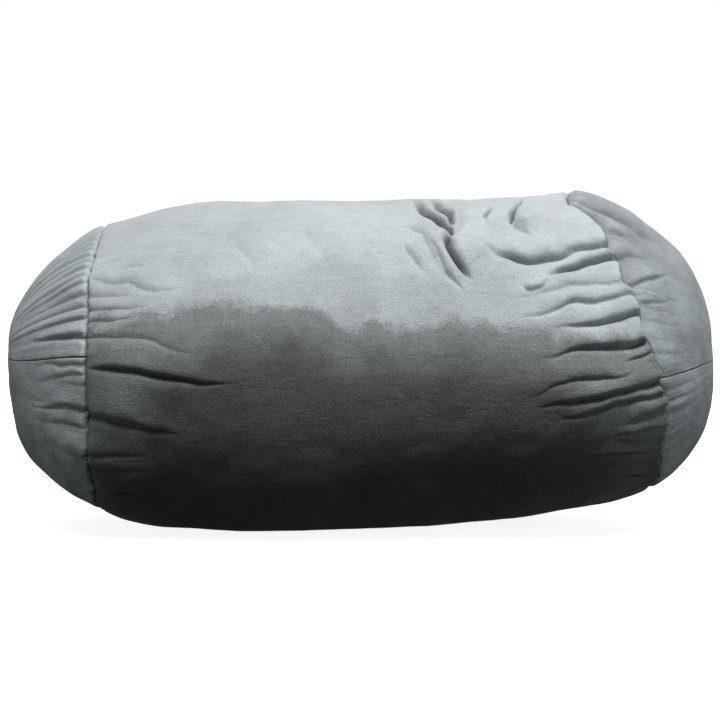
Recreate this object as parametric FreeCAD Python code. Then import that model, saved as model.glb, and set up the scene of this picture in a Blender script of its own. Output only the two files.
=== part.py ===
"""A long lounger bean bag: plush cover with gathered domed ends, zip, inner liner and foam fill.

Row frame: +X along the long axis, +Y towards the back where the zip is, +Z up.
The origin is the middle of the footprint, on the floor. Millimetres throughout.
"""

import os

import FreeCAD
import Part
from FreeCAD import Placement, Rotation, Vector

# Overall size of the filled bag: a round tube with half-ball ends, lying on its side
LENGTH = 1830.0
RADIUS = 460.0
AXIS_HEIGHT = 406.0  # the long axis stands this high; below it the bag is squashed flat on the floor

# Fabric, and how deep each layer lies under the outer surface
PLUSH = 4.0
LINER_DEPTH = 15.0
LINER_CLOTH = 1.2
FILL_DEPTH = 26.0
LAYER_GAP = 0.4

# End seams: where the seam's plane crosses the axis, and how it leans
LEFT_SEAM_X = -645.0
RIGHT_SEAM_X = 632.0
RIGHT_SEAM_LEAN = 12.0  # degrees about Y: the top of this seam lies further in than its foot
RIGHT_SEAM_SWING = 9.0  # degrees about Z: the front of this seam lies further out than its back
SEAM_GAP = 2.0
THREAD = 1.6
LEFT_JOIN_HEIGHT = AXIS_HEIGHT + 50.0  # the seam across each end, between its two half discs
RIGHT_JOIN_HEIGHT = AXIS_HEIGHT + 16.0

# Zips: coil zips with a straight chain along the back, at the height of the long axis
ZIP_LENGTH = 840.0
LINER_ZIP_LENGTH = 620.0
SLOT_HALF = 8.0  # half the height of the opening between the two folded fabric edges
SLOT_EXTRA = 26.0  # the opening runs this far past the chain, so that the pull can lie flat
TAPE_WIDTH = 18.0
TAPE = 0.8
TAPE_BEHIND = 0.8  # between the fabric's inner face and the tape's outer face
COIL_WIDTH = 3.4
COIL_HEIGHT = 2.4
CHAIN_HALF_GAP = 0.6  # half the gap between the two coils, in which the slider's post runs
STOP_LENGTH = 4.0
SLIDER_LENGTH = 16.0
SLIDER_NOSE = 12.0
SLIDER_TAIL = 9.0
SLIDER_PLATE = 1.2
SLIDER_CLEARANCE = 0.5
POST_LENGTH = 3.0
POST_WIDTH = 0.7
BRIDGE_LENGTH = 10.0
BRIDGE_WIDTH = 3.0
BRIDGE_ROOM = 2.3
BRIDGE_ROOF = 0.9
END_CLEARANCE = 3.0  # between the parked slider and the stops

# Pull tab
PULL_LENGTH = 28.0
PULL_WIDTH = 9.0
PULL_THICK = 1.4
PULL_WINDOW = 6.6
PULL_WINDOW_HALF = 2.2
PULL_HOLE = 1.6

# Care label, folded over the lower fabric edge of the zip opening
LABEL_X = -370.0
LABEL_WIDTH = 60.0
LABEL_DROP = 55.0
LABEL_CLOTH = 0.8

HUGE = 3000.0
X_AXIS = Vector(1, 0, 0)


def envelope(inset):
    """The bag's outer shape moved in by inset: a tube with domed ends, cut flat by the floor."""
    radius = RADIUS - inset
    shoulder = LENGTH / 2 - RADIUS
    slant = radius * 0.7071067811865476
    tip_left = Vector(-shoulder - radius, 0, 0)
    tip_right = Vector(shoulder + radius, 0, 0)
    foot_left = Vector(-shoulder, 0, -radius)
    foot_right = Vector(shoulder, 0, -radius)
    left_arc = Part.Arc(tip_left, Vector(-shoulder - slant, 0, -slant), foot_left)
    right_arc = Part.Arc(foot_right, Vector(shoulder + slant, 0, -slant), tip_right)
    outline = [
        left_arc.toShape(),
        Part.LineSegment(foot_left, foot_right).toShape(),
        right_arc.toShape(),
        Part.LineSegment(tip_right, tip_left).toShape(),
    ]
    bag = Part.Face(Part.Wire(outline)).revolve(Vector(), X_AXIS, 360)
    bag.translate(Vector(0, 0, AXIS_HEIGHT))
    return bag.common(block(-HUGE, HUGE, -HUGE, HUGE, inset, HUGE))


def block(x0, x1, y0, y1, z0, z1):
    return Part.makeBox(x1 - x0, y1 - y0, z1 - z0, Vector(x0, y0, z0))


def shell(outer, inner):
    """The skin between two depths under the outer surface."""
    return envelope(outer).cut(envelope(inner))


def beyond(side, offset):
    """Everything past an end seam's plane moved outwards by offset. side is -1 for left, 1 for right."""
    past = block(offset, HUGE, -HUGE, HUGE, -HUGE, HUGE)
    if side < 0:
        turn = Rotation(Vector(0, 0, 1), 180)
        return past.transformed(Placement(Vector(LEFT_SEAM_X, 0, AXIS_HEIGHT), turn).toMatrix())
    lean = Rotation(Vector(0, 1, 0), RIGHT_SEAM_LEAN)
    swing = Rotation(Vector(0, 0, 1), RIGHT_SEAM_SWING)
    return past.transformed(Placement(Vector(RIGHT_SEAM_X, 0, AXIS_HEIGHT), swing * lean).toMatrix())


def slab(z_middle, thickness):
    return block(-HUGE, HUGE, -HUGE, HUGE, z_middle - thickness / 2, z_middle + thickness / 2)


def at_back(half_x, half_z):
    """A block through the back of the bag only, as wide and high as asked, level with the long axis."""
    return block(-half_x, half_x, RADIUS / 2, HUGE, AXIS_HEIGHT - half_z, AXIS_HEIGHT + half_z)


def cover_panels():
    """The five plush panels, and the thread along each seam between them."""
    skin = shell(0, PLUSH)
    line = shell(PLUSH / 2 - THREAD / 2, PLUSH / 2 + THREAD / 2)
    slot_x = ZIP_LENGTH / 2 + SLOT_EXTRA
    parts = {}
    body = skin.cut(beyond(-1, -SEAM_GAP / 2)).cut(beyond(1, -SEAM_GAP / 2))
    parts["cover_body_panel"] = body.cut(at_back(HUGE, SEAM_GAP / 2)).cut(at_back(slot_x, SLOT_HALF))
    back_line = line.common(at_back(HUGE, THREAD / 2)).cut(at_back(slot_x + SEAM_GAP, HUGE))
    parts["back_seam_stitching"] = back_line.cut(beyond(-1, -SEAM_GAP)).cut(beyond(1, -SEAM_GAP))
    for name, side, join in (("left", -1, LEFT_JOIN_HEIGHT), ("right", 1, RIGHT_JOIN_HEIGHT)):
        disc = skin.common(beyond(side, SEAM_GAP / 2))
        above = block(-HUGE, HUGE, -HUGE, HUGE, join + SEAM_GAP / 2, HUGE)
        below = block(-HUGE, HUGE, -HUGE, HUGE, -HUGE, join - SEAM_GAP / 2)
        parts[f"cover_{name}_end_upper_panel"] = disc.common(above)
        parts[f"cover_{name}_end_lower_panel"] = disc.common(below)
        ring = line.common(beyond(side, -THREAD / 2)).cut(beyond(side, THREAD / 2))
        parts[f"{name}_end_seam_stitching"] = ring
        across = line.common(slab(join, THREAD)).common(beyond(side, SEAM_GAP))
        parts[f"{name}_end_middle_stitching"] = across
    return parts


def liner_panels():
    """The plain inner bag: a tube and two ends, with a straight opening for its own zip."""
    skin = shell(LINER_DEPTH, LINER_DEPTH + LINER_CLOTH)
    slot_x = LINER_ZIP_LENGTH / 2 + STOP_LENGTH
    body = skin.cut(beyond(-1, -LAYER_GAP)).cut(beyond(1, -LAYER_GAP))
    return {
        "liner_body_panel": body.cut(at_back(slot_x, SLOT_HALF)),
        "liner_left_end_panel": skin.common(beyond(-1, LAYER_GAP)),
        "liner_right_end_panel": skin.common(beyond(1, LAYER_GAP)),
    }


def foam_fill():
    return {"shredded_foam_fill": envelope(FILL_DEPTH)}


def plate(length, nose, tail, y0, y1):
    """A slider plate seen from the back: wide at the nose, narrower at the tail, with round corners."""
    corners = [
        Vector(length / 2, y0, -nose / 2),
        Vector(length / 2, y0, nose / 2),
        Vector(-length / 2, y0, tail / 2),
        Vector(-length / 2, y0, -tail / 2),
    ]
    solid = Part.Face(Part.makePolygon(corners + corners[:1])).extrude(Vector(0, y1 - y0, 0))
    upright = [e for e in solid.Edges if abs(e.tangentAt(e.FirstParameter).y) > 0.99]
    return solid.makeFillet(tail / 4, upright)


def slider(x, chain_y, with_bridge):
    """A zip slider centred on x, over a chain whose coils stand on the plane y = chain_y."""
    coil_top = chain_y + COIL_HEIGHT
    tape_back = chain_y - TAPE
    upper = coil_top + SLIDER_CLEARANCE
    lower = tape_back - SLIDER_CLEARANCE - SLIDER_PLATE
    top = plate(SLIDER_LENGTH, SLIDER_NOSE, SLIDER_TAIL, upper, upper + SLIDER_PLATE)
    back = plate(SLIDER_LENGTH, SLIDER_NOSE, SLIDER_TAIL, lower, lower + SLIDER_PLATE)
    post = block(-POST_LENGTH / 2, POST_LENGTH / 2, lower, upper, -POST_WIDTH / 2, POST_WIDTH / 2)
    body = top.fuse(back).fuse(post)
    flange_z = CHAIN_HALF_GAP + COIL_WIDTH + SLIDER_CLEARANCE
    flange = block(0, SLIDER_LENGTH / 2 - 3, upper - 1.5, upper, flange_z, flange_z + 0.9)
    body = body.fuse(flange).fuse(flange.mirror(Vector(), Vector(0, 0, 1)))
    roof_top = upper + SLIDER_PLATE + BRIDGE_ROOM + BRIDGE_ROOF
    arch = block(-BRIDGE_LENGTH / 2, BRIDGE_LENGTH / 2, upper, roof_top, -BRIDGE_WIDTH / 2, BRIDGE_WIDTH / 2)
    rounded = [e for e in arch.Edges if e.CenterOfMass.y > roof_top - 0.1 and abs(e.CenterOfMass.x) > 1]
    arch = arch.makeFillet(1.2, rounded)
    if with_bridge:
        room = BRIDGE_LENGTH / 2 - 1.4
        arch = arch.cut(block(-room, room, upper + SLIDER_PLATE, roof_top - BRIDGE_ROOF, -HUGE, HUGE))
    else:
        arch = arch.common(block(-HUGE, HUGE, upper, upper + SLIDER_PLATE + 0.9, -HUGE, HUGE))
    body = body.fuse(arch).removeSplitter()
    body.translate(Vector(x, 0, AXIS_HEIGHT))
    return body


def pull_axis_y(chain_y):
    """Where the pull's bar sits: in the middle of the room under the slider's bridge."""
    return chain_y + COIL_HEIGHT + SLIDER_CLEARANCE + SLIDER_PLATE + BRIDGE_ROOM / 2


def pull_tab(x, chain_y):
    """The pull, lying back over the closed chain, with a round bar that turns under the bridge."""
    half = PULL_THICK / 2
    tab = block(-PULL_LENGTH, half, -half, half, -PULL_WIDTH / 2, PULL_WIDTH / 2)
    far = [e for e in tab.Edges if abs(e.tangentAt(e.FirstParameter).y) > 0.99 and e.CenterOfMass.x < -1]
    tab = tab.makeFillet(PULL_WIDTH / 2 - 0.6, far)
    window = block(-PULL_WINDOW, HUGE, -half, half, -PULL_WINDOW_HALF, PULL_WINDOW_HALF)
    hole = Part.makeCylinder(PULL_HOLE, PULL_THICK, Vector(3.6 - PULL_LENGTH, -half, 0), Vector(0, 1, 0))
    bar = Part.makeCylinder(half, PULL_WIDTH, Vector(0, 0, -PULL_WIDTH / 2), Vector(0, 0, 1))
    tab = tab.cut(window).cut(hole)
    near_end = block(0, HUGE, -HUGE, HUGE, -HUGE, HUGE)
    tab = tab.cut(near_end).fuse(bar).removeSplitter()
    tab.translate(Vector(x, pull_axis_y(chain_y), AXIS_HEIGHT))
    return tab


def zip_parts(prefix, length, chain_y, parked, with_pull):
    """Both tapes, both coils, the stops and the slider of one zip. parked is 1 to close at +X, -1 at -X."""
    parts = {}
    end = length / 2
    coil_end = end - STOP_LENGTH - 1
    coil_top = chain_y + COIL_HEIGHT
    edge = CHAIN_HALF_GAP + COIL_WIDTH
    for name, sign in (("upper", 1), ("lower", -1)):
        tape = block(-end, end, chain_y - TAPE, chain_y, CHAIN_HALF_GAP, CHAIN_HALF_GAP + TAPE_WIDTH)
        coil = block(-coil_end, coil_end, chain_y, coil_top, CHAIN_HALF_GAP, edge)
        for label, piece in (("tape", tape), ("coil", coil)):
            if sign < 0:
                piece = piece.mirror(Vector(), Vector(0, 0, 1))
            piece.translate(Vector(0, 0, AXIS_HEIGHT))
            parts[f"{prefix}_{name}_{label}"] = piece
    near = block(coil_end + 0.5, end - 0.5, chain_y, coil_top, CHAIN_HALF_GAP, edge)
    far = block(-end + 0.5, -coil_end - 0.5, chain_y, coil_top, -edge, edge)
    pair = Part.makeCompound([near, near.mirror(Vector(), Vector(0, 0, 1))])
    for label, piece in (("top_stops", pair), ("bottom_stop", far)):
        if parked < 0:
            piece = piece.mirror(Vector(), X_AXIS)
        piece.translate(Vector(0, 0, AXIS_HEIGHT))
        parts[f"{prefix}_{label}"] = piece
    x = parked * parked_x(length)
    body = slider(0, chain_y, with_pull)
    if parked < 0:
        body = body.mirror(Vector(), X_AXIS)
    body.translate(Vector(x, 0, 0))
    parts[f"{prefix}_slider"] = body
    if with_pull:
        parts[f"{prefix}_pull"] = pull_tab(x, chain_y)
    return parts


def parked_x(length):
    """How far from the middle the closed slider stands."""
    return length / 2 - STOP_LENGTH - 1 - SLIDER_LENGTH / 2 - END_CLEARANCE


def care_label(face):
    """A blank label: a short tongue through the opening and a flap hanging down outside."""
    x0, x1 = LABEL_X - LABEL_WIDTH / 2, LABEL_X + LABEL_WIDTH / 2
    edge = AXIS_HEIGHT - SLOT_HALF + 0.1
    outside = face + 0.3
    tongue = block(x0, x1, face - PLUSH, outside + LABEL_CLOTH, edge, edge + LABEL_CLOTH)
    flap = block(x0, x1, outside, outside + LABEL_CLOTH, edge - LABEL_DROP, edge + LABEL_CLOTH)
    return {"care_label": tongue.fuse(flap).removeSplitter()}


def main():
    os.makedirs("parts", exist_ok=True)
    back = RADIUS
    parts = {}
    parts.update(cover_panels())
    parts.update(liner_panels())
    parts.update(foam_fill())
    cover_chain_y = back - PLUSH - TAPE_BEHIND
    liner_chain_y = back - LINER_DEPTH - LINER_CLOTH - TAPE_BEHIND
    parts.update(zip_parts("cover_zip", ZIP_LENGTH, cover_chain_y, 1, True))
    parts.update(zip_parts("liner_zip", LINER_ZIP_LENGTH, liner_chain_y, -1, False))
    parts.update(care_label(back))
    for name, shape in sorted(parts.items()):
        solids = shape.Solids
        if not solids or not all(s.isValid() for s in solids):
            raise ValueError(f"{name} is not a set of valid solids")
        whole = solids[0] if len(solids) == 1 else Part.makeCompound(solids)
        whole.exportStep(f"parts/{name}.step")
        box = whole.optimalBoundingBox()
        print(f"{name}: {len(solids)} solid(s), {shape.Volume / 1000:.1f} cm3,", end=" ")
        print(f"{box.XLength:.1f} x {box.YLength:.1f} x {box.ZLength:.1f} mm")


if __name__ == "__main__":
    main()
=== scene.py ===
"""Plush bean bag lounger: cover, liner, foam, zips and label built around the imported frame.

Metres throughout. +X runs along the bag, the front faces -Y and the zip is at the back.
Two coordinates name a place on the bag: along (surface distance from the left-hand tip) and
around (degrees from the front, 90 at the top, 180 at the back, -90 underneath).
Folds that only the front shows are placed in the front view: (metres across from the middle,
metres up from the bag's foot).
"""

import math

import bpy
import numpy as np
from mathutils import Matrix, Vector


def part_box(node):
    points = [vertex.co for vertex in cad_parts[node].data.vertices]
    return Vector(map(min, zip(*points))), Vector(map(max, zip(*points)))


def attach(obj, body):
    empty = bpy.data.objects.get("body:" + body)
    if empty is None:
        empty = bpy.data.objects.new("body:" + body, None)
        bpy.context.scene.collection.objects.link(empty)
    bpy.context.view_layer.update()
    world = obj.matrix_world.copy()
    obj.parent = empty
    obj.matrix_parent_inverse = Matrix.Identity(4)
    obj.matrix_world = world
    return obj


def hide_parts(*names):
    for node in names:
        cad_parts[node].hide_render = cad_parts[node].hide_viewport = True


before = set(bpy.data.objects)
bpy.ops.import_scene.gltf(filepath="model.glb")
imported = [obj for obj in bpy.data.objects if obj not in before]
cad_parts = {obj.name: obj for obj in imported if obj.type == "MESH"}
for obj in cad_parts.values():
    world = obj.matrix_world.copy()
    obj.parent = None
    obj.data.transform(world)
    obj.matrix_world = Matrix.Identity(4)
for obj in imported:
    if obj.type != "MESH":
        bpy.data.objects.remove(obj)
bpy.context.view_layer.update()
ZIP_HEIGHT = (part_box("cover_zip_lower_coil")[1].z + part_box("cover_zip_upper_coil")[0].z) / 2
ZIP_SLOT_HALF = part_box("cover_zip_upper_tape")[1].x + 0.020  # room for the pull to lie either way

# Camera
CAMERA_DISTANCE = 5.6
CAMERA_ELEVATION = 6.0
CAMERA_AIM = (0.0, 0.0, 0.4207)
CAMERA_LENS = 107.0

# The bag's outline, seen from the front
HALF_LENGTH = 0.915
HALF_DEPTH = 0.462
LEFT_TIP_HEIGHT = 0.44
RIGHT_TIP_HEIGHT = 0.434
TOP_HEIGHT = 0.836
TOP_RISE = 0.022  # how much higher the right-hand shoulder stands
RIGHT_LIFT = 0.085  # slope of the underside to the right of where it leaves the floor
RIGHT_LIFT_FROM = 0.17
FRONT_LEFT_HEIGHT = 0.472  # of the line along the front
FRONT_RIGHT_HEIGHT = 0.415
UNDERSIDE_SQUARENESS = 2.5  # at the left; the right is rounder

# How the outline closes at its ends: where from the middle, over what length, and how squarely
DEPTH_TAPER = (0.445, 0.47, 2.1)
LEFT_TOP_TAPER = (0.27, 0.645, 2.05)
RIGHT_TOP_TAPER = (0.50, 0.415, 2.15)
LEFT_FOOT_TAPER = (0.15, 0.765, 3.1)
RIGHT_FOOT_TAPER = (0.40, 0.515, 3.0)

# Seams
LEFT_SEAM = -0.662
RIGHT_SEAM_AROUND = (-180, -135, -90, -60, -46, -32, -26, -18, -9.5, -1, 2, 6.5, 12, 15.5, 24, 28,
                     31, 33.5, 43, 45, 51.5, 58, 66, 68, 75, 90, 135)
RIGHT_SEAM_X = (0.56, 0.65, 0.734, 0.750, 0.750, 0.753, 0.759, 0.760, 0.753, 0.732, 0.733, 0.722,
                0.708, 0.690, 0.685, 0.672, 0.667, 0.645, 0.636, 0.611, 0.607, 0.594, 0.556, 0.531,
                0.527, 0.54, 0.525)
SEAM_DEPTH = 0.006
SEAM_WIDTH = 0.005
LEFT_MEETING = 0.0035  # how near each seam the folds die out, so that two panels' edges meet
RIGHT_MEETING = 0.009
SEAM_GAP = 0.0012  # from a seam's line to each panel's edge
MIDDLE_GAP = 0.25  # degrees, the same beside an end's middle seam
TURN_IN = 0.012  # how deep a panel's sewn edges go inside
CUT_WIDTH = 0.0055  # of the furrow where the cloth folds right over
CLOTH = 0.003
CLEARANCE = 0.0012  # of the cover's underside over the floor
STITCH_LENGTH = 0.0055
STITCH_RADIUS = 0.0005
STITCH_SINK = 0.0011  # how much deeper a stitch's ends lie than its middle

# Mesh sizes
AROUND = 640
BODY_ALONG = 360
END_ALONG = 90
FRONT_DETAIL = 0.32  # how much closer the mesh lines stand at the front than at the back
LINER_AROUND = 361
FOAM_ALONG = 240
FOAM_AROUND = 300

# Settling
SIM_AROUND = 200
SIM_ALONG = 150
SIM_FRAMES = 22
SETTLE_LIMIT = 0.022  # how far the cloth may move

# Zip
ZIP_SLOT_GAP = 0.008
TAPE_TAIL = 0.032  # the tapes run this far past the stops
COIL_PITCH = 0.0018
COIL_WIRE = 0.00045  # radius

rng = np.random.default_rng(7)


# ---- numbers


def smoothstep(x, low, high):
    t = np.clip((x - low) / (high - low), 0, 1)
    return t * t * (3 - 2 * t)


def superellipse(t, power):
    return (1 - np.clip(t, 0, 1) ** power) ** (1 / power)


def soft_floor(height, softness=0.012):
    """Heights, with everything under zero pushed up smoothly to about zero."""
    return (height + np.sqrt(height**2 + softness**2)) / 2


class Waves:
    """A smooth random field with lumps of about the given size, from -1 to 1 mostly."""

    def __init__(self, size, stretch=(1, 1, 1), count=28):
        direction = rng.normal(size=(count, 3))
        direction /= np.linalg.norm(direction, axis=1)[:, None]
        pace = rng.uniform(0.6, 1.6, count)[:, None] * math.tau / (2.2 * size)
        self.vectors = direction * pace / np.array(stretch)
        self.phases = rng.uniform(0, math.tau, count)
        self.scale = math.sqrt(2 / count)

    def __call__(self, points):
        total = np.zeros(points.shape[:-1])
        for vector, phase in zip(self.vectors, self.phases):
            total += np.sin(points @ vector + phase)
        return total * self.scale * 0.7


def periodic(around, places, values):
    """Smooth periodic interpolation between values at places round the bag, in degrees."""
    places = np.concatenate([np.array(places, float) + turn for turn in (-360, 0, 360)])
    values = np.tile(values, 3)
    slopes = np.zeros(len(places))
    slopes[1:-1] = (values[2:] - values[:-2]) / (places[2:] - places[:-2])
    angle = (np.asarray(around) + 180) % 360 - 180
    i = np.clip(np.searchsorted(places, angle) - 1, 1, len(places) - 3)
    width = places[i + 1] - places[i]
    t = (angle - places[i]) / width
    bend = slopes[i] * (1 - t) - slopes[i + 1] * t
    return values[i] + (values[i + 1] - values[i]) * smoothstep(t, 0, 1) + width * t * (1 - t) * bend


# ---- the filled bag's smooth form


def end_taper(x, start, reach, power):
    return superellipse((np.abs(x) - start) / reach, power)


def middle_height(x):
    """Height of the line that runs along the bag's front."""
    left = FRONT_LEFT_HEIGHT + (LEFT_TIP_HEIGHT - FRONT_LEFT_HEIGHT) * smoothstep(-x, 0.66, 0.91)
    right = FRONT_RIGHT_HEIGHT + (RIGHT_TIP_HEIGHT - FRONT_RIGHT_HEIGHT) * smoothstep(x, 0.72, 0.91)
    return left + (right - left) * smoothstep(x, -0.6, 0.6)


def back_height(x):
    """Height of the line that runs along the bag's back, level beside the zip."""
    tip = np.where(x < 0, LEFT_TIP_HEIGHT, RIGHT_TIP_HEIGHT)
    return ZIP_HEIGHT + (tip - ZIP_HEIGHT) * smoothstep(np.abs(x), 0.58, 0.90)


def top_height(x):
    middle = middle_height(x)
    ridge = TOP_HEIGHT + TOP_RISE * smoothstep(x, 0.28, 0.57)
    taper = np.where(x < 0, end_taper(x, *LEFT_TOP_TAPER), end_taper(x, *RIGHT_TOP_TAPER))
    return middle + (ridge - middle) * taper


def under_height(x):
    middle = middle_height(x)
    base = RIGHT_LIFT * np.maximum(x - RIGHT_LIFT_FROM, 0)
    taper = np.where(x < 0, end_taper(x, *LEFT_FOOT_TAPER), end_taper(x, *RIGHT_FOOT_TAPER))
    return middle + (base - middle) * taper


def section(x, around):
    """Points of the smooth bag at x, at an angle round it."""
    angle = np.radians(around)
    c, s = np.cos(angle), np.sin(angle)
    middle = back_height(x) + (middle_height(x) - back_height(x)) * smoothstep(c, -0.8, 0.5)
    half_depth = HALF_DEPTH * end_taper(x, *DEPTH_TAPER)
    rounder = smoothstep(x, -0.25, 0.25)
    power = UNDERSIDE_SQUARENESS - 0.4 * rounder
    low = under_height(x)
    contact = smoothstep(0.10 - low, 0, 0.10)
    squared = (np.abs(c) ** power + np.abs(s) ** power) ** (-1 / power)
    blend = smoothstep(-s, 0.0, 0.6)
    reach = 1 + (squared - 1) * blend
    up = middle + (top_height(x) - middle) * s
    down = middle + (middle - low + (0.03 - 0.015 * rounder) * contact) * s * reach
    z = np.where(s >= 0, up, down)
    z = np.where(s >= 0, z, z + contact * (low + soft_floor(z - low) - z))
    return np.stack([x, -half_depth * c * reach, z], axis=-1)


def tabulate_length():
    """Surface distance from the left tip against x."""
    x = HALF_LENGTH * np.sin(np.linspace(-math.pi / 2, math.pi / 2, 6001))
    radius = 0.43 * end_taper(x, *DEPTH_TAPER)
    steps = np.hypot(np.diff(x), np.diff(radius))
    return x, np.concatenate([[0], np.cumsum(steps)])


X_TABLE, LENGTH_TABLE = tabulate_length()
TOTAL = LENGTH_TABLE[-1]


def along_of(x):
    return np.interp(x, X_TABLE, LENGTH_TABLE)


def x_of(along):
    return np.interp(along, LENGTH_TABLE, X_TABLE)


def smooth_bag(along, around):
    return section(x_of(along), around)


def unit(vectors):
    return vectors / np.maximum(np.linalg.norm(vectors, axis=-1, keepdims=True), 1e-12)


def smooth_normal(along, around):
    """Outward normals of the smooth bag."""
    inside = np.clip(along, 0.006, TOTAL - 0.006)
    lengthwise = smooth_bag(inside + 0.004, around) - smooth_bag(inside - 0.004, around)
    crosswise = smooth_bag(inside, around + 0.8) - smooth_bag(inside, around - 0.8)
    return unit(np.cross(crosswise, lengthwise) * -1)


def near_zip(x, around):
    """1 beside the zip's slot, where the chain holds the cloth straight, and 0 a hand's width away."""
    from_back = 180 - np.abs((around + 180) % 360 - 180)
    return (1 - smoothstep(from_back, 2.5, 10)) * (1 - smoothstep(np.abs(x), 0.45, 0.52))


def left_seam(around):
    wiggle = 0.0012 * np.sin(np.radians(around) * 37) + 0.001 * np.sin(np.radians(around) * 61 + 2)
    return along_of(LEFT_SEAM + wiggle)


def right_seam(around):
    wiggle = 0.0015 * np.sin(np.radians(around) * 31) + 0.001 * np.sin(np.radians(around) * 53 + 1)
    return along_of(periodic(around, RIGHT_SEAM_AROUND, RIGHT_SEAM_X) + wiggle)


# ---- front view


CAMERA_RISE = math.radians(CAMERA_ELEVATION)
FOOT = -0.021  # the bag's foot in the front view, against the floor under its middle


def front_view(points):
    """(across, up) in metres as the front view shows the points, at the scale of the bag's middle."""
    c, s = math.cos(CAMERA_RISE), math.sin(CAMERA_RISE)
    back, up = points[..., 1], points[..., 2] - CAMERA_AIM[2]
    nearer = CAMERA_DISTANCE / (CAMERA_DISTANCE + back * c - up * s)
    height = CAMERA_AIM[2] * c - FOOT + (back * s + up * c) * nearer
    return np.stack([points[..., 0] * nearer, height], axis=-1)


def to_path(place, path):
    """Distance from each place to a path, the share of the path before its nearest point, and
    whether the place is on the path's left."""
    legs = np.linalg.norm(np.diff(path, axis=0), axis=1)
    starts = np.concatenate([[0], np.cumsum(legs)])
    best = np.full(len(place), 1e9)
    share = np.zeros(len(place))
    left = np.zeros(len(place), bool)
    for a, b, leg, start in zip(path[:-1], path[1:], legs, starts):
        t = np.clip((place - a) @ (b - a) / leg**2, 0, 1)
        gap = place - a - t[:, None] * (b - a)
        distance = np.linalg.norm(gap, axis=1)
        side = (b - a)[0] * gap[:, 1] - (b - a)[1] * gap[:, 0] > 0
        nearer = distance < best
        best = np.where(nearer, distance, best)
        share = np.where(nearer, (start + t * leg) / starts[-1], share)
        left = np.where(nearer, side, left)
    return best, share, left


def crease(place, path, depth, width, fade_in, fade_out, cut=0):
    """One fold: the cloth dips along the path and bulges on the left of its direction.

    fade_in and fade_out are the shares of the path over which it starts and dies away. cut is how
    much deeper a narrow furrow goes where the cloth folds right over. Returns how far the cloth
    stands out, and the furrow's part of it.
    """
    path = np.array(path, float)
    reach = 6 * width
    near = np.all((place > path.min(0) - reach) & (place < path.max(0) + reach), axis=-1)
    offset, furrow = np.zeros(near.shape), np.zeros(near.shape)
    if not near.any():
        return offset, furrow
    distance, share, left = to_path(place[near], path)
    fade = np.ones(len(share))
    if fade_in:
        fade *= smoothstep(share, 0, fade_in)
    if fade_out:
        fade *= 1 - smoothstep(share, 1 - fade_out, 1)
    r = distance / (width * (0.55 + 0.45 * fade))
    swell = np.where(left, 1.0, 0.3) * r * np.exp(1 - r)
    dip = np.exp(-np.sqrt(r**2 + 0.01) / 0.42)
    furrow[near] = fade * cut * np.exp(-((distance / CUT_WIDTH) ** 2))
    offset[near] = fade * depth * (swell - 0.8 * dip) - furrow[near]
    return offset, furrow


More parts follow.
